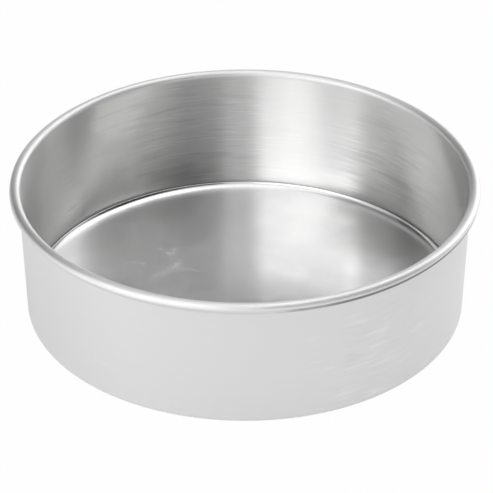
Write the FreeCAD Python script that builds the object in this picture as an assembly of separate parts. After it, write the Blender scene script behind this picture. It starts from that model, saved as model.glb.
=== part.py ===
import FreeCAD, Part

import math
import os

# Round loose-base cake tin.
# A drawn sheet-metal shell has an inward ledge at its foot and a rim curled outward round a wire.
# A plate with a turned-up edge lies on the ledge as the floor, and is pushed up through the shell to free a cake.
# The origin is the centre of the underside, with +Z up along the tin's axis. All sizes are in millimetres.

# Driving sizes
inside_top_diameter = 228.6
overall_height = 72.4
wall_draft_degrees = 1.85
sheet_thickness = 1.0
cove_radius = 2.7
ledge_width = 12.0
wire_diameter = 3.25
base_thickness = 1.0
base_bend_radius = 6.8
base_upturn_degrees = 57.0

# Clearances
wire_clearance = 0.15
wire_butt_gap = 0.5
curl_end_gap = 0.3
base_clearance = 0.4

# The wall leans outward by its draft, so its outward normal dips by the same angle.
draft = math.radians(wall_draft_degrees)

# The curl: the sheet's outer side lies round the wire, and its inner side is the bead that shows.
curl_inner_radius = wire_diameter / 2 + wire_clearance
bead_radius = curl_inner_radius + sheet_thickness
curl_centre_radius = inside_top_diameter / 2 + bead_radius * math.cos(draft)
curl_centre_height = overall_height - bead_radius

# The corner at the foot: one centre for the cove inside and for the rounded edge outside.
corner_radius = cove_radius + sheet_thickness
corner_centre_height = corner_radius
wall_foot_drop = curl_centre_height + bead_radius * math.sin(draft) - corner_centre_height
corner_centre_radius = (
    inside_top_diameter / 2 - wall_foot_drop * math.tan(draft) - cove_radius / math.cos(draft)
)

# The floor: the plate's edge turns up on a bend of its own, and its rounded rim stands clear of the wall.
hole_radius = corner_centre_radius - ledge_width
base_upturn = math.radians(base_upturn_degrees)
base_middle_radius = base_bend_radius + base_thickness / 2
base_bend_height = sheet_thickness + base_thickness + base_bend_radius
rim_height = base_bend_height - base_middle_radius * math.cos(base_upturn)
wall_at_rim = (
    corner_centre_radius + cove_radius / math.cos(draft) + (rim_height - corner_centre_height) * math.tan(draft)
)
rim_radius = wall_at_rim - (base_thickness / 2 + base_clearance) / math.cos(draft)
flat_radius = rim_radius - base_middle_radius * math.sin(base_upturn)

tin_centre = FreeCAD.Vector(0, 0, 0)
up = FreeCAD.Vector(0, 0, 1)


def point(radius, height):
    return FreeCAD.Vector(radius, 0, height)


def line(start, end):
    return Part.LineSegment(start, end).toShape()


def arc(start, middle, end):
    return Part.Arc(start, middle, end).toShape()


def on_curl(radius, degrees_from_normal):
    """A point of the curl, turned anticlockwise from the wall's outward normal."""
    angle = math.radians(degrees_from_normal) - draft
    return point(
        curl_centre_radius + radius * math.cos(angle),
        curl_centre_height + radius * math.sin(angle),
    )


def on_corner(radius, degrees_below_normal):
    """A point of the foot's corner, turned from the wall's outward normal towards the floor."""
    angle = -draft - math.radians(degrees_below_normal)
    return point(
        corner_centre_radius + radius * math.cos(angle),
        corner_centre_height + radius * math.sin(angle),
    )


def tin_wall():
    """The shell: ledge, rounded foot, leaning wall and curled rim, all of one sheet thickness."""
    wall_side = 180.0
    curl_end = -math.degrees(math.acos((curl_end_gap - curl_inner_radius) / bead_radius))
    curl_middle = (wall_side + curl_end) / 2
    quarter = 90.0 - wall_draft_degrees

    hole_bottom = point(hole_radius, 0)
    hole_top = point(hole_radius, sheet_thickness)
    foot_outside = on_corner(corner_radius, quarter)
    foot_inside = on_corner(cove_radius, quarter)

    outside = [
        line(hole_bottom, foot_outside),
        arc(foot_outside, on_corner(corner_radius, quarter / 2), on_corner(corner_radius, 0)),
        line(on_corner(corner_radius, 0), on_curl(curl_inner_radius, wall_side)),
        arc(
            on_curl(curl_inner_radius, wall_side),
            on_curl(curl_inner_radius, curl_middle),
            on_curl(curl_inner_radius, curl_end),
        ),
    ]
    cut_edge = line(on_curl(curl_inner_radius, curl_end), on_curl(bead_radius, curl_end))
    inside = [
        arc(
            on_curl(bead_radius, curl_end),
            on_curl(bead_radius, curl_middle),
            on_curl(bead_radius, wall_side),
        ),
        line(on_curl(bead_radius, wall_side), on_corner(cove_radius, 0)),
        arc(on_corner(cove_radius, 0), on_corner(cove_radius, quarter / 2), foot_inside),
        line(foot_inside, hole_top),
    ]
    hole_edge = line(hole_top, hole_bottom)
    section = Part.Face(Part.Wire(outside + [cut_edge] + inside + [hole_edge]))
    return section.revolve(tin_centre, up, 360)


def rim_wire():
    """The wire that the rim is curled round: a ring bent from one length, with butted ends."""
    gap_degrees = math.degrees(wire_butt_gap / curl_centre_radius)
    centre = point(curl_centre_radius, curl_centre_height)
    end_circle = Part.Circle(centre, FreeCAD.Vector(0, 1, 0), wire_diameter / 2).toShape()
    section = Part.Face(Part.Wire(end_circle))
    return section.revolve(tin_centre, up, 360 - gap_degrees)


def on_bend(radius, angle):
    """A point of the floor plate's turned-up edge, by its angle from the flat."""
    return point(flat_radius + radius * math.sin(angle), base_bend_height - radius * math.cos(angle))


def loose_base():
    """The floor: a pressed plate lying on the ledge, with a turned-up edge that ends in a full round."""
    top = sheet_thickness + base_thickness
    under_radius = base_bend_radius + base_thickness
    onward = point(math.cos(base_upturn), math.sin(base_upturn))
    tip = point(rim_radius, rim_height) + onward * (base_thickness / 2)

    under_end = on_bend(under_radius, base_upturn)
    upper_end = on_bend(base_bend_radius, base_upturn)
    section = Part.Face(Part.Wire([
        line(point(0, sheet_thickness), on_bend(under_radius, 0)),
        arc(on_bend(under_radius, 0), on_bend(under_radius, base_upturn / 2), under_end),
        arc(under_end, tip, upper_end),
        arc(upper_end, on_bend(base_bend_radius, base_upturn / 2), on_bend(base_bend_radius, 0)),
        line(on_bend(base_bend_radius, 0), point(0, top)),
        line(point(0, top), point(0, sheet_thickness)),
    ]))
    return section.revolve(tin_centre, up, 360)


def main():
    os.makedirs("parts", exist_ok=True)
    pieces = {
        "tin_wall": tin_wall(),
        "rim_wire": rim_wire(),
        "loose_base": loose_base(),
    }
    for name, shape in pieces.items():
        print(f"{name}: valid {shape.isValid()}, solids {len(shape.Solids)}, volume {shape.Volume:.1f}")
        shape.exportStep(f"parts/{name}.step")
    print(f"bead radius {bead_radius:.3f}, hole radius {hole_radius:.3f}, flat radius {flat_radius:.3f}")


main()
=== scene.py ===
import math

import bpy
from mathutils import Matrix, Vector


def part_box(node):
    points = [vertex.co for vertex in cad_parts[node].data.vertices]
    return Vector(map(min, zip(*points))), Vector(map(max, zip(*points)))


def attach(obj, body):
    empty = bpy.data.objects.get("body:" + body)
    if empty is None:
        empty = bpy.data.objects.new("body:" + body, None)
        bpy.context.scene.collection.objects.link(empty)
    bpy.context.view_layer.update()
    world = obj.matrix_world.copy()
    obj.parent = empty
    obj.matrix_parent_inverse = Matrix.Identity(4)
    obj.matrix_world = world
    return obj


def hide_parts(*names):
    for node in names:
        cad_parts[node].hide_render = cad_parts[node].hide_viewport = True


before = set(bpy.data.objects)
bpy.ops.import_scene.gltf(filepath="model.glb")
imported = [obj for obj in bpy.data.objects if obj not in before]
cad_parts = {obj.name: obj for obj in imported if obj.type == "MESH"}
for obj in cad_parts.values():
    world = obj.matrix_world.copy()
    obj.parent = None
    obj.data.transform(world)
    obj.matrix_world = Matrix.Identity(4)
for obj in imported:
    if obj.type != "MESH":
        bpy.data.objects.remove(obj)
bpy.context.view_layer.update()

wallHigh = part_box("tin_wall")[1]
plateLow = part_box("loose_base")[0]
tinHeight = wallHigh.z
smoothTo = math.radians(40)  # edges that turn more than this stay sharp
print("frame loaded, tin height", round(tinHeight, 4))


# a point of the outline that is turned round the tin's axis
def at(radius, height):
    return Vector((radius, 0, height))


# a new piece starts as one point, ready to be drawn on in edit mode
def startOutline(name, point):
    bpy.ops.object.select_all(action="DESELECT")
    bpy.ops.mesh.primitive_plane_add(size=0.001)
    piece = bpy.context.object
    piece.name = name
    piece.data.name = name
    bpy.ops.object.mode_set(mode="EDIT")
    bpy.ops.mesh.select_all(action="SELECT")
    bpy.ops.mesh.merge(type="CENTER")
    bpy.ops.transform.translate(value=point)
    return piece


# a straight stretch of the outline, in equal steps
def drawTo(start, end, steps):
    step = (end - start) / steps
    for _ in range(steps):
        bpy.ops.mesh.extrude_region_move(TRANSFORM_OT_translate={"value": step})


# a round stretch of the outline, anticlockwise when the angle is positive
def drawArc(centre, angle, steps):
    bpy.ops.mesh.spin(steps=steps, angle=angle, center=centre, axis=(0, 1, 0))


# the outline turned once round the tin's axis, closed and with its faces all one way
def turnOutline(segments):
    bpy.ops.mesh.select_all(action="SELECT")
    bpy.ops.mesh.spin(steps=segments, angle=math.tau, center=(0, 0, 0), axis=(0, 0, 1))
    bpy.ops.mesh.select_all(action="SELECT")
    bpy.ops.mesh.remove_doubles(threshold=1e-6)
    bpy.ops.mesh.normals_make_consistent(inside=False)


def applyModifier(piece, kind, **values):
    modifier = piece.modifiers.new(kind.title(), kind)
    for name, value in values.items():
        setattr(modifier, name, value)
    bpy.ops.object.modifier_apply(modifier=modifier.name)


shell = {
    "sheet": 0.001,
    "bead": 0.002775,  # radius of the rolled rim
    "cove": 0.0027,  # inside radius of the rounded foot
    "ledge": 0.012,  # width of the inward ledge that the plate lies on
    "lean": math.radians(1.85),
    "tuckGap": 0.0003,  # between the free edge of the rim and the wall
    "edgeBreak": 0.00018,  # rounding of the sheet's cut edges
    "cutEdge": math.radians(60),  # edges that turn more than this are cut edges
    "beadSlack": 1.01,  # faces this near to the bead's own radius belong to the rim
    "segments": 288,
    "ledgeRows": 3,
    "wallRows": 10,
    "coveSteps": 12,
    "curlSteps": 40,
}


# the middle of the rolled rim and of the rounded foot, and the top of the straight wall between them
def shellPlaces():
    bead, cove, lean = shell["bead"], shell["cove"], shell["lean"]
    outward = at(math.cos(lean), -math.sin(lean))  # square to the leaning wall
    curl = at(wallHigh.x - bead, tinHeight - bead)
    wallTop = curl - outward * bead
    cornerHeight = shell["sheet"] + cove
    drop = wallTop.z - cornerHeight
    corner = at(wallTop.x - drop * math.tan(lean) - cove / math.cos(lean), cornerHeight)
    return outward, curl, wallTop, corner


def makeShell():
    sheet, bead, cove, lean = shell["sheet"], shell["bead"], shell["cove"], shell["lean"]
    outward, curl, wallTop, corner = shellPlaces()
    wallFoot = corner + outward * cove
    ledgeEnd = corner - at(0, cove)
    ledgeStart = ledgeEnd - at(shell["ledge"], 0)
    curlTurn = math.pi + math.acos((shell["tuckGap"] - bead + sheet) / bead)

    piece = startOutline("tin_shell", ledgeStart)
    drawTo(ledgeStart, ledgeEnd, shell["ledgeRows"])
    drawArc(corner, math.pi / 2 - lean, shell["coveSteps"])
    drawTo(wallFoot, wallTop, shell["wallRows"])
    drawArc(curl, -curlTurn, shell["curlSteps"])
    turnOutline(shell["segments"])
    bpy.ops.object.mode_set(mode="OBJECT")

    # the drawn side is the inside of the tin, so its faces have to look at the axis
    wallFace = min(piece.data.polygons, key=lambda face: abs(face.center.z - tinHeight / 2))
    if wallFace.normal.dot(wallFace.center) > 0:
        bpy.ops.object.mode_set(mode="EDIT")
        bpy.ops.mesh.select_all(action="SELECT")
        bpy.ops.mesh.flip_normals()
        bpy.ops.object.mode_set(mode="OBJECT")
    applyModifier(piece, "SOLIDIFY", thickness=sheet, offset=-1, use_even_offset=True)
    applyModifier(piece, "BEVEL", width=shell["edgeBreak"], segments=2, angle_limit=shell["cutEdge"])
    bpy.ops.object.shade_smooth_by_angle(angle=smoothTo)

    # 0 inside wall, 1 outside wall, 2 rolled rim, 3 the inside of the rounded foot
    for face in piece.data.polygons:
        around = Vector((face.center.x, face.center.y, 0))
        heading = around.normalized()
        place = at(around.length, face.center.z)
        facing = at(face.normal.dot(heading), face.normal.z)
        if (place - curl).length < bead * shell["beadSlack"]:
            face.material_index = 2
        elif place.z < corner.z:
            face.material_index = 1 if facing.dot(place - corner) > 0 else 3
        elif facing.x > 0:
            face.material_index = 1
    print("shell:", len(piece.data.polygons), "faces")
    return piece


plate = {
    "sheet": 0.001,
    "bend": 0.0068,  # radius of the solid's turned-up edge, which sets how high the rim stands
    "upturn": math.radians(57),
    "ease": 0.0105,  # the bend starts slowly on this radius, as far as easeTurn, and ends tighter
    "easeTurn": math.radians(32),
    "rimGap": 0.0004,  # between the rim and the wall
    "easeSteps": 8,
    "bendSteps": 16,
    "rimSteps": 8,
    "segments": 288,
    "rings": 12,
}


def makePlate():
    half, upturn, lean = plate["sheet"] / 2, plate["upturn"], shell["lean"]
    wallTop = shellPlaces()[2]
    low, high = plateLow.z, plateLow.z + plate["sheet"]
    rise = (plate["bend"] + half) * (1 - math.cos(upturn))
    rimHeight = low + half + rise
    wallThere = wallTop.x - (wallTop.z - rimHeight) * math.tan(lean)
    rim = at(wallThere - (half + plate["rimGap"]) / math.cos(lean), rimHeight)

    # radii are taken in the middle of the sheet, and both arcs share their heading where they meet
    easeTurn, wide = plate["easeTurn"], plate["ease"] + half
    tight = (rise - wide * (1 - math.cos(easeTurn))) / (math.cos(easeTurn) - math.cos(upturn))
    bend = rim - at(math.sin(upturn), -math.cos(upturn)) * tight
    ease = bend - at(math.sin(easeTurn), -math.cos(easeTurn)) * (wide - tight)

    piece = startOutline("base_plate", at(0, low))
    drawTo(at(0, low), at(ease.x, low), plate["rings"])
    drawArc(ease, easeTurn, plate["easeSteps"])
    drawArc(bend, upturn - easeTurn, plate["bendSteps"])
    drawArc(rim, math.pi, plate["rimSteps"])  # the rim is rounded over
    drawArc(bend, easeTurn - upturn, plate["bendSteps"])
    drawArc(ease, -easeTurn, plate["easeSteps"])
    drawTo(at(ease.x, high), at(0, high), plate["rings"])
    turnOutline(plate["segments"])
    bpy.ops.object.mode_set(mode="OBJECT")
    bpy.ops.object.shade_smooth_by_angle(angle=smoothTo)
    print("plate:", len(piece.data.polygons), "faces, flat to", round(ease.x, 4))
    return piece


tinShell = makeShell()
basePlate = makePlate()


# nodes are added with their values, and a node's output or a number goes into each input
def addNode(tree, kind, inputs=None, **settings):
    node = tree.nodes.new(kind)
    for name, value in settings.items():
        setattr(node, name, value)
    for socket, value in (inputs or {}).items():
        if isinstance(value, bpy.types.NodeSocket):
            tree.links.new(value, node.inputs[socket])
        else:
            node.inputs[socket].default_value = value
    return node


def calc(tree, operation, first, second=0.0):
    return addNode(tree, "ShaderNodeMath", {0: first, 1: second}, operation=operation).outputs[0]


def ramp(tree, value, low, high, toLow=0.0, toHigh=1.0):
    places = {"Value": value, "From Min": low, "From Max": high, "To Min": toLow, "To Max": toHigh}
    return addNode(tree, "ShaderNodeMapRange", places, interpolation_type="SMOOTHSTEP").outputs["Result"]


def newGroup(name, inputs, outputs):
    group = bpy.data.node_groups.new(name, "ShaderNodeTree")
    for socket, kind in inputs.items():
        group.interface.new_socket(socket, in_out="INPUT", socket_type=kind)
    for socket in outputs:
        group.interface.new_socket(socket, in_out="OUTPUT", socket_type="NodeSocketFloat")
    return group, group.nodes.new("NodeGroupInput").outputs, group.nodes.new("NodeGroupOutput").inputs


# a place as its part square to the tin's axis, its distance from the axis, and its height
def fromAxis(tree, place):
    spot = addNode(tree, "ShaderNodeSeparateXYZ", {0: place}).outputs
    flat = addNode(tree, "ShaderNodeCombineXYZ", {0: spot[0], 1: spot[1]}).outputs[0]
    radius = addNode(tree, "ShaderNodeVectorMath", {0: flat}, operation="LENGTH").outputs["Value"]
    return flat, radius, spot[2]


# lines that run round the tin: short or long by Length, thin or wide by Rings
def makeRingLines():
    tree, given, result = newGroup(
        "ring_lines",
        {"Place": "NodeSocketVector", "Length": "NodeSocketFloat", "Rings": "NodeSocketFloat",
         "Detail": "NodeSocketFloat", "Start": "NodeSocketFloat"},
        ["Lines"],
    )
    flat, radius, height = fromAxis(tree, given["Place"])
    heading = addNode(tree, "ShaderNodeVectorMath", {0: flat}, operation="NORMALIZE").outputs[0]
    turned = addNode(tree, "ShaderNodeVectorMath",
                     {0: heading, "Scale": given["Length"]}, operation="SCALE").outputs[0]
    part = addNode(tree, "ShaderNodeSeparateXYZ", {0: turned}).outputs
    across = calc(tree, "MULTIPLY", calc(tree, "ADD", radius, height), given["Rings"])
    place = addNode(tree, "ShaderNodeCombineXYZ",
                    {0: part[0], 1: part[1], 2: calc(tree, "ADD", across, given["Start"])}).outputs[0]
    noise = addNode(tree, "ShaderNodeTexNoise",
                    {"Vector": place, "Scale": 1.0, "Detail": given["Detail"], "Roughness": 0.6})
    tree.links.new(noise.outputs["Fac"], result["Lines"])
    return tree


# hairline scuffs: the contour lines of a noise, kept only here and there
def makeHandMarks():
    tree, given, result = newGroup(
        "hand_marks",
        {"Place": "NodeSocketVector", "Scale": "NodeSocketFloat", "Width": "NodeSocketFloat",
         "Spread": "NodeSocketFloat"},
        ["Marks"],
    )
    wander = addNode(tree, "ShaderNodeTexNoise",
                     {"Vector": given["Place"], "Scale": given["Scale"], "Detail": 1.5}).outputs["Fac"]
    contour = calc(tree, "ABSOLUTE", calc(tree, "SUBTRACT", wander, 0.5))
    line = calc(tree, "SUBTRACT", 1.0, ramp(tree, contour, 0.0, given["Width"]))
    patchScale = calc(tree, "MULTIPLY", given["Scale"], 1.7)
    patch = addNode(tree, "ShaderNodeTexNoise",
                    {"Vector": given["Place"], "Scale": patchScale, "Detail": 2.0}).outputs["Fac"]
    edge = calc(tree, "SUBTRACT", 1.0, given["Spread"])
    kept = ramp(tree, patch, edge, calc(tree, "ADD", edge, 0.12))
    tree.links.new(calc(tree, "MULTIPLY", line, kept), result["Marks"])
    return tree


# a soft-edged patch round one place, where use and cleaning have marked the metal more than elsewhere,
# and also where shade is painted
def makeSoftSpot():
    tree, given, result = newGroup(
        "soft_spot",
        {"Place": "NodeSocketVector", "Centre": "NodeSocketVector", "Reach": "NodeSocketFloat",
         "Ragged": "NodeSocketFloat"},
        ["Spot"],
    )
    wander = addNode(tree, "ShaderNodeTexNoise",
                     {"Vector": given["Place"], "Scale": 70.0, "Detail": 2.0}).outputs["Fac"]
    away = addNode(tree, "ShaderNodeVectorMath",
                   {0: given["Place"], 1: given["Centre"]}, operation="DISTANCE").outputs["Value"]
    wobble = calc(tree, "MULTIPLY", calc(tree, "SUBTRACT", wander, 0.5), given["Ragged"])
    share = calc(tree, "ADD", calc(tree, "DIVIDE", away, given["Reach"]), wobble)
    spot = ramp(tree, share, 0.35, 1.0, 1.0, 0.0)  # full within a third of the reach
    tree.links.new(spot, result["Spot"])
    return tree


ringLines = makeRingLines()
handMarks = makeHandMarks()
softSpot = makeSoftSpot()
print("shader groups ready")


def placeGroup(tree, group, inputs):
    return addNode(tree, "ShaderNodeGroup", inputs, node_tree=group).outputs[0]


def addRings(tree, place, lines):
    return placeGroup(tree, ringLines, {"Place": place, **lines})


def mixColour(tree, amount, first, second):
    return addNode(tree, "ShaderNodeMix", {0: amount, 6: first, 7: second}, data_type="RGBA").outputs[2]


def tone(tree, amount, values):
    return mixColour(tree, amount, (*values["dark"], 1), (*values["light"], 1))


# a metal whose gloss is drawn out across its grain, which runs round the tin or straight across the sheet
def startMetal(name, stretch, grain="round"):
    material = bpy.data.materials.new(name)
    material.use_nodes = True
    tree = material.node_tree
    shader = tree.nodes["Principled BSDF"]
    shader.inputs["Metallic"].default_value = 1
    shader.inputs["Anisotropic"].default_value = stretch
    shader.inputs["Anisotropic Rotation"].default_value = 0.25  # a quarter turn from the grain
    if grain == "round":
        along = addNode(tree, "ShaderNodeTangent", direction_type="RADIAL", axis="Z")
    else:
        along = addNode(tree, "ShaderNodeVectorTransform", {0: (1, 0, 0)},
                        convert_from="OBJECT", convert_to="WORLD")
    tree.links.new(along.outputs[0], shader.inputs["Tangent"])
    place = addNode(tree, "ShaderNodeTexCoord").outputs["Object"]
    return material, tree, shader, place


# the strongest of the spots at each point, of wear and of painted shade alike, and at least the share
# that is everywhere
def spotShare(tree, place, everywhere, spots, ragged=0.9):
    worn = everywhere
    for centre, reach in spots.values():
        spot = {"Place": place, "Centre": centre, "Reach": reach, "Ragged": ragged}
        worn = calc(tree, "MAXIMUM", worn, placeGroup(tree, softSpot, spot))
    return worn


# painted shade in one dark colour: along joints, more in some places than elsewhere, and in patches
paintedShade = {
    "colour": (0.27, 0.268, 0.265, 1),
    "elsewhere": 0.1,
    "jointRagged": 0.3,
}


# how much painted shade each point takes: along the joint, and in patches
def paintedShadeShare(tree, place, joint, values):
    most = spotShare(tree, place, paintedShade["elsewhere"], values["seamShadeWorst"], paintedShade["jointRagged"])
    patch = spotShare(tree, place, 0.0, values["shadePatches"], values["shadePatchRagged"])
    seamShade = calc(tree, "MULTIPLY", joint, most)
    return calc(tree, "MAXIMUM", seamShade, calc(tree, "MULTIPLY", patch, values["shadeAmount"]))


# the lighter the metal, the glossier
def roughness(tree, shade, values):
    glossy, dull = values["rough"]
    return ramp(tree, shade, 0.0, 1.0, dull, glossy)


def addBump(tree, shader, height, distance):
    bump = addNode(tree, "ShaderNodeBump", {"Height": height, "Distance": distance, "Strength": 1.0})
    tree.links.new(bump.outputs[0], shader.inputs["Normal"])


insideWall = {
    "stretch": 1.0,
    "rough": (0.29, 0.36),
    "dark": (0.77, 0.77, 0.766),
    "light": (0.97, 0.969, 0.963),
    "streaks": {"Length": 5.0, "Rings": 1050.0, "Detail": 1.5, "Start": 3.1},
    "fineShare": 0.12,
    "calm": (0.06, 0.3),  # how much the streaks show away from the worn spots
    "smear": 0.5,  # how much the broad soft smears darken the wall
    "worn": {
        "back": ((-0.026, 0.11, 0.036), 0.052),
        "right": ((0.076, 0.083, 0.03), 0.045),
        "left_top": ((-0.067, 0.092, 0.064), 0.026),
        "left_low": ((-0.092, 0.066, 0.021), 0.014),
    },
    "rubbedBright": {
        "left_top": ((-0.067, 0.092, 0.063), 0.024),
    },
    "rubbed": 0.6,  # how far rubbing lightens the metal there
    "seamShade": (0.0046, 0.0053),  # painted shade along the joint with the plate, up to this height
    # where the painted shade along the joint is deepest
    "seamShadeWorst": {
        "left_back": ((-0.06, 0.095, 0.006), 0.1),
    },
    # painted shade in the corners at the foot of the wall, where it meets the plate
    "shadePatches": {
        "right_foot": ((0.076, 0.081, 0.006), 0.034),
        "left_foot": ((-0.072, 0.085, 0.002), 0.034),
        "back_foot": ((-0.042, 0.103, 0.002), 0.028),
    },
    "shadeAmount": 0.3,  # how much of the painted shade's colour the patches take
    "shadePatchRagged": 0.45,
    "bump": 0.00002,
}

outsideWall = {
    "stretch": 0.6,
    "rough": (0.4, 0.46),
    "dark": (0.79, 0.791, 0.793),
    "light": (0.87, 0.87, 0.868),
    "streaks": {"Length": 6.0, "Rings": 420.0, "Detail": 1.5, "Start": 3.1},
    "fineShare": 0.1,
    "calm": (0.04, 0.12),
    "smear": 0.1,
    "worn": {
        "right": ((0.061, -0.096, 0.032), 0.04),
    },
    "bump": 0.000008,
}


# the brush lines that both walls share, and where in each noise its marks begin and end
brushing = {
    "fine": {"Length": 3.0, "Rings": 2300.0, "Detail": 1.0, "Start": 11.7},
    "patches": {"Length": 3.0, "Rings": 60.0, "Detail": 2.0, "Start": 7.3},
    "smears": {"Length": 3.2, "Rings": 230.0, "Detail": 1.0, "Start": 17.9},
    "patchFrom": (0.42, 0.7),
    "lightFrom": (0.55, 0.7),
    "darkBelow": (0.28, 0.42),
    "smearFrom": (0.54, 0.72),
    "darkShare": 0.6,  # dark streaks beside light ones
    "strength": 0.7,
    "plain": 0.5,  # shade of the metal between its marks
}


def makeBrushedWall(name, values):
    material, tree, shader, place = startMetal(name, values["stretch"])
    streaks = addRings(tree, place, values["streaks"])
    fine = addRings(tree, place, brushing["fine"])
    patches = addRings(tree, place, brushing["patches"])
    broad = addRings(tree, place, brushing["smears"])
    calm = ramp(tree, patches, *brushing["patchFrom"], *values["calm"])
    worn = spotShare(tree, place, calm, values["worn"])

    light = ramp(tree, streaks, *brushing["lightFrom"])
    dark = ramp(tree, streaks, *brushing["darkBelow"], brushing["darkShare"], 0.0)
    marks = calc(tree, "MULTIPLY", calc(tree, "SUBTRACT", light, dark), worn)
    grain = calc(tree, "MULTIPLY", calc(tree, "SUBTRACT", fine, 0.5), values["fineShare"])
    smear = calc(tree, "MULTIPLY", worn, values["smear"])
    smears = calc(tree, "MULTIPLY", ramp(tree, broad, *brushing["smearFrom"]), smear)
    shade = calc(tree, "ADD", calc(tree, "MULTIPLY", marks, brushing["strength"]), brushing["plain"])
    shade = calc(tree, "SUBTRACT", calc(tree, "ADD", shade, grain), smears)
    if "rubbedBright" in values:
        bright = spotShare(tree, place, 0.0, values["rubbedBright"])
        shade = calc(tree, "ADD", shade, calc(tree, "MULTIPLY", bright, values["rubbed"]))

    colour = tone(tree, shade, values)
    # painted shade: darker along the joint with the plate and in patches at the foot
    if "shadePatches" in values:
        height = addNode(tree, "ShaderNodeSeparateXYZ", {0: place}).outputs[2]
        joint = ramp(tree, height, *values["seamShade"], 1.0, 0.0)
        colour = mixColour(tree, paintedShadeShare(tree, place, joint, values), colour, paintedShade["colour"])
    tree.links.new(colour, shader.inputs["Base Color"])
    tree.links.new(roughness(tree, shade, values), shader.inputs["Roughness"])
    addBump(tree, shader, shade, values["bump"])
    return material


rolledRim = {
    "stretch": 0.6,
    "rough": (0.44, 0.5),
    "dark": (0.87, 0.872, 0.875),
    "light": (0.94, 0.94, 0.94),
    "under": (0.0693, 0.07),  # painted shade under the rim, below this height and beyond this radius
    "beyond": (0.1168, 0.1178),
    "everywhere": 0.2,
    # painted shade under the rim, deepest at the right front
    "shadePatches": {
        "right_front": ((0.083, -0.083, 0.069), 0.1),
    },
    "bump": 0.000006,
}

roundedFoot = {
    "stretch": 0.4,
    "rough": (0.19, 0.25),
    "dark": (0.87, 0.872, 0.875),
    "light": (0.94, 0.94, 0.94),
    "bump": 0.000006,
}

drawnWire = {
    "stretch": 0.6,
    "rough": (0.25, 0.4),
    "dark": (0.5, 0.5, 0.5),
    "light": (0.66, 0.65, 0.64),
    "bump": 0.00001,
}


# what the formed metals share
forming = {
    "lines": {"Length": 3.0, "Rings": 1500.0, "Detail": 2.0, "Start": 5.2},
    "lineFrom": (0.3, 0.7),
    "nicks": {"Scale": 60.0, "Width": 0.02, "Spread": 0.42},
    "nickRough": 0.12,
}


def makeFormedMetal(name, values):
    material, tree, shader, place = startMetal(name, values["stretch"])
    lines = addRings(tree, place, forming["lines"])
    nicks = placeGroup(tree, handMarks, {"Place": place, **forming["nicks"]})
    shade = ramp(tree, lines, *forming["lineFrom"])
    colour = tone(tree, shade, values)
    # painted shade on the rim's underside
    if "shadePatches" in values:
        radius, height = fromAxis(tree, place)[1:]
        below = ramp(tree, height, *values["under"], 1.0, 0.0)
        hidden = calc(tree, "MULTIPLY", below, ramp(tree, radius, *values["beyond"]))
        most = spotShare(tree, place, values["everywhere"], values["shadePatches"], paintedShade["jointRagged"])
        colour = mixColour(tree, calc(tree, "MULTIPLY", hidden, most), colour, paintedShade["colour"])
    tree.links.new(colour, shader.inputs["Base Color"])
    nicked = calc(tree, "MULTIPLY", nicks, forming["nickRough"])
    tree.links.new(calc(tree, "ADD", roughness(tree, shade, values), nicked), shader.inputs["Roughness"])
    addBump(tree, shader, lines, values["bump"])
    return material


millPlate = {
    "stretch": 0.8,
    "rough": (0.16, 0.22),
    "dark": (0.93, 0.932, 0.935),
    "light": (0.99, 0.99, 0.99),
    "haze": {"Scale": 38.0, "Detail": 4.0},
    "hazeFrom": (0.3, 0.7),
    "hazeBump": 0.5,
    "scuffs": {"Scale": 42.0, "Width": 0.09, "Spread": 0.55},
    "scuffsElsewhere": 0.3,
    "scuffRough": 0.09,
    "scuffBump": 0.3,
    "scuffed": {
        "left": ((-0.042, 0.034, 0.002), 0.03),
        "left_front": ((-0.031, 0.019, 0.002), 0.014),
    },
    # painted shade at the plate's right end and on its rim near the wall
    "shadePatches": {
        "right": ((0.086, 0.064, 0.002), 0.05),
        "right_rim": ((0.068, 0.087, 0.003), 0.028),
    },
    "shadeAmount": 0.52,
    "shadePatchRagged": 0.2,
    "seamShade": (0.1109, 0.1116),  # painted shade on the plate's rim, beyond this radius
    # where the painted shade along the rim is deepest
    "seamShadeWorst": {
        "left_back": ((-0.06, 0.095, 0.005), 0.1),
    },
    "bump": 0.000012,
}


def makeMillPlate(name, values):
    material, tree, shader, place = startMetal(name, values["stretch"], "straight")
    haze = addNode(tree, "ShaderNodeTexNoise", {"Vector": place, **values["haze"]}).outputs["Fac"]
    lines = placeGroup(tree, handMarks, {"Place": place, **values["scuffs"]})
    scuffs = calc(tree, "MULTIPLY", lines,
                  spotShare(tree, place, values["scuffsElsewhere"], values["scuffed"]))
    shade = ramp(tree, haze, *values["hazeFrom"])
    # painted shade along the rim and in patches, mixed into the colour
    away = addNode(tree, "ShaderNodeVectorMath", {0: place}, operation="LENGTH").outputs["Value"]
    shadeAmount = paintedShadeShare(tree, place, ramp(tree, away, *values["seamShade"]), values)
    colour = mixColour(tree, shadeAmount, tone(tree, shade, values), paintedShade["colour"])
    tree.links.new(colour, shader.inputs["Base Color"])
    scuffed = calc(tree, "MULTIPLY", scuffs, values["scuffRough"])
    tree.links.new(calc(tree, "ADD", roughness(tree, shade, values), scuffed), shader.inputs["Roughness"])
    scratches = calc(tree, "MULTIPLY", scuffs, values["scuffBump"])
    unevenness = calc(tree, "ADD", scratches, calc(tree, "MULTIPLY", haze, values["hazeBump"]))
    addBump(tree, shader, unevenness, values["bump"])
    return material


wallMetal = makeBrushedWall("inside_wall_spun", insideWall)
outerMetal = makeBrushedWall("outside_wall_spun", outsideWall)
rimMetal = makeFormedMetal("rolled_rim", rolledRim)
footMetal = makeFormedMetal("rounded_foot", roundedFoot)
plateMetal = makeMillPlate("plate_mill_finish", millPlate)
wireMetal = makeFormedMetal("wire_drawn_steel", drawnWire)
for metal in (wallMetal, outerMetal, rimMetal, footMetal):
    tinShell.data.materials.append(metal)
basePlate.data.materials.append(plateMetal)
for slot in bpy.data.objects["rim_wire"].material_slots:
    slot.material = wireMetal
print("metals dressed")

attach(tinShell, "tin")
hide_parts("tin_wall")
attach(basePlate, "base")
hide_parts("loose_base")

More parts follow.
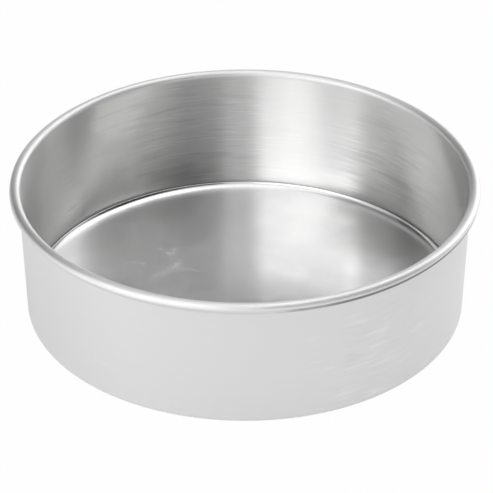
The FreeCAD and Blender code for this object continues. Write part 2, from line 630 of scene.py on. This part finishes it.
# angles are in degrees: turn goes from the camera's side towards the left, rise goes up from the horizon
stage = {
    "floorSize": 8.0,
    "floorColour": (0.93, 0.93, 0.93, 1),
    "whiteSeen": 0.97,  # how much of the floor is plain white to the camera, and in the tin's gloss
    "whiteMirrored": 0.5,
    "tent": ((0, 0.83), (35, 0.4), (75, 1.12)),  # how bright the tent is at each rise
    "edge": 14,  # how soft the panels' edges are
    "panels": {
        "low_left": {"turn": 66.5, "wide": 42, "rise": 0.6, "tall": 14, "glow": 1.65},
        "fill_left": {"turn": 78, "wide": 40, "rise": 35, "tall": 30, "glow": 0.55},
        "fill_right": {"turn": -29, "wide": 40, "rise": 5, "tall": 14, "glow": 0.25},
        "flag_right": {"turn": -58.5, "wide": 86, "rise": 37.5, "tall": 28, "glow": -1.3},
        "flag_left": {"turn": 110, "wide": 37, "rise": 53, "tall": 54.5, "glow": -0.68},
        "flag_back": {"turn": 180, "wide": 60, "rise": 36, "tall": 30, "glow": -0.2},
        "flag_low": {"turn": -92, "wide": 66, "rise": 1.7, "tall": 17, "glow": -1.38},
        "back_right": {"turn": -150, "wide": 40, "rise": 12, "tall": 26, "glow": 1.2},
        "flag_back_left": {"turn": 138, "wide": 46, "rise": 14, "tall": 36, "glow": -0.5},
    },
}


def makeFloor():
    bpy.ops.object.select_all(action="DESELECT")
    bpy.ops.mesh.primitive_plane_add(size=stage["floorSize"])
    floor = bpy.context.object
    floor.name = "studio_floor"
    material = bpy.data.materials.new("floor_paper")
    material.use_nodes = True
    tree = material.node_tree
    tree.nodes.remove(tree.nodes["Principled BSDF"])
    paper = addNode(tree, "ShaderNodeBsdfDiffuse", {"Color": stage["floorColour"]})
    white = addNode(tree, "ShaderNodeEmission")
    ray = addNode(tree, "ShaderNodeLightPath").outputs
    seen = calc(tree, "MULTIPLY", ray["Is Camera Ray"], stage["whiteSeen"])
    mirrored = calc(tree, "MULTIPLY", ray["Is Glossy Ray"], stage["whiteMirrored"])
    seen = calc(tree, "MAXIMUM", seen, mirrored)
    mix = addNode(tree, "ShaderNodeMixShader", {0: seen, 1: paper.outputs[0], 2: white.outputs[0]})
    tree.links.new(mix.outputs[0], tree.nodes["Material Output"].inputs["Surface"])
    floor.data.materials.append(material)


# one where a panel of the tent is, nought outside it
def panelShare(tree, turn, rise, place):
    edge = stage["edge"]
    aside = calc(tree, "SUBTRACT", turn, math.radians(place["turn"]))
    wrap = {0: aside, 1: math.pi, 2: -math.pi}
    aside = addNode(tree, "ShaderNodeMath", wrap, operation="WRAP").outputs[0]
    above = calc(tree, "SUBTRACT", rise, math.radians(place["rise"]))
    share = 1.0
    for distance, size in ((aside, place["wide"]), (above, place["tall"])):
        inner, outer = math.radians((size - edge) / 2), math.radians((size + edge) / 2)
        inside = ramp(tree, calc(tree, "ABSOLUTE", distance), inner, outer, 1.0, 0.0)
        share = calc(tree, "MULTIPLY", inside, share)
    return share


def makeRoom():
    world = bpy.data.worlds.new("studio_room")
    bpy.context.scene.world = world
    world.use_nodes = True
    tree = world.node_tree
    ray = addNode(tree, "ShaderNodeLightPath").outputs
    looking = addNode(tree, "ShaderNodeTexCoord").outputs["Generated"]
    along = addNode(tree, "ShaderNodeSeparateXYZ", {0: looking}).outputs
    rise = calc(tree, "ARCSINE", along[2])
    leftward = calc(tree, "MULTIPLY", along[0], -1.0)
    forward = calc(tree, "MULTIPLY", along[1], -1.0)
    turn = calc(tree, "ARCTAN2", leftward, forward)

    # the tent's glow goes straight from each of its three heights to the next
    (low, lowGlow), (middle, middleGlow), (high, highGlow) = stage["tent"]
    low, middle, high = math.radians(low), math.radians(middle), math.radians(high)
    below = {"Value": rise, "From Min": low, "From Max": middle, "To Min": lowGlow, "To Max": middleGlow}
    above = {"Value": rise, "From Min": middle, "From Max": high, "To Max": highGlow - middleGlow}
    glow = calc(tree, "ADD", addNode(tree, "ShaderNodeMapRange", below).outputs[0],
                addNode(tree, "ShaderNodeMapRange", above).outputs[0])
    for place in stage["panels"].values():
        share = panelShare(tree, turn, rise, place)
        glow = calc(tree, "ADD", glow, calc(tree, "MULTIPLY", share, place["glow"]))
    room = tree.nodes["Background"]
    room.inputs["Color"].default_value = (1, 1, 1, 1)
    tree.links.new(calc(tree, "MAXIMUM", glow, 0.0), room.inputs["Strength"])
    white = addNode(tree, "ShaderNodeBackground", {"Color": (1, 1, 1, 1)})
    mix = addNode(tree, "ShaderNodeMixShader",
                  {0: ray["Is Camera Ray"], 1: room.outputs[0], 2: white.outputs[0]})
    tree.links.new(mix.outputs[0], tree.nodes["World Output"].inputs["Surface"])


makeFloor()
makeRoom()

# two soft boxes, as wide and tall as the tin sees them, and glow is how bright they look
lamps = {
    "box_front_left": {"turn": 37, "wide": 59, "rise": 34, "tall": 26.5, "glow": 1.5},
    "box_back_right": {"turn": -119.5, "wide": 41, "rise": 46.5, "tall": 65, "glow": 1.12},
}
lampDistance = 2.6  # from the middle of the tin's underside


def makeLamp(name, turn, wide, rise, tall, glow):
    turn, rise = math.radians(turn), math.radians(rise)
    light = bpy.data.lights.new(name, "AREA")
    light.shape = "RECTANGLE"
    light.size = 2 * lampDistance * math.cos(rise) * math.tan(math.radians(wide / 2))
    light.size_y = 2 * lampDistance * math.tan(math.radians(tall / 2))
    light.energy = glow * math.pi * light.size * light.size_y
    lamp = bpy.data.objects.new(name, light)
    bpy.context.collection.objects.link(lamp)
    toLamp = Vector((-math.sin(turn) * math.cos(rise), -math.cos(turn) * math.cos(rise), math.sin(rise)))
    lamp.location = toLamp * lampDistance
    lamp.rotation_euler = toLamp.to_track_quat("Z", "Y").to_euler()
    lamp.visible_camera = False


for name, place in lamps.items():
    makeLamp(name, **place)
print("stage lit by", len(lamps), "lamps")

eye = {
    "target": 0.03515,  # height on the tin's axis that the lens axis meets
    "distance": 1.43139,
    "rise": math.radians(31.661),
    "focal": 2772.77,  # in pixels of the photograph
    "middle": (244.94, 240.87),  # where the lens axis meets the photograph
    "frame": 493,
}


def makeCamera():
    lens = bpy.data.cameras.new("photo_camera")
    camera = bpy.data.objects.new("photo_camera", lens)
    bpy.context.collection.objects.link(camera)
    half = eye["frame"] / 2
    lens.sensor_width = 36
    lens.lens = eye["focal"] * lens.sensor_width / eye["frame"]
    lens.shift_x = (half - eye["middle"][0]) / eye["frame"]
    lens.shift_y = (eye["middle"][1] - half) / eye["frame"]
    lens.clip_start = 0.01
    back = Vector((0, -math.cos(eye["rise"]), math.sin(eye["rise"])))
    camera.location = at(0, eye["target"]) + back * eye["distance"]
    camera.rotation_euler = (math.pi / 2 - eye["rise"], 0, 0)
    bpy.context.scene.camera = camera


makeCamera()
bpy.context.scene.view_settings.view_transform = "Standard"
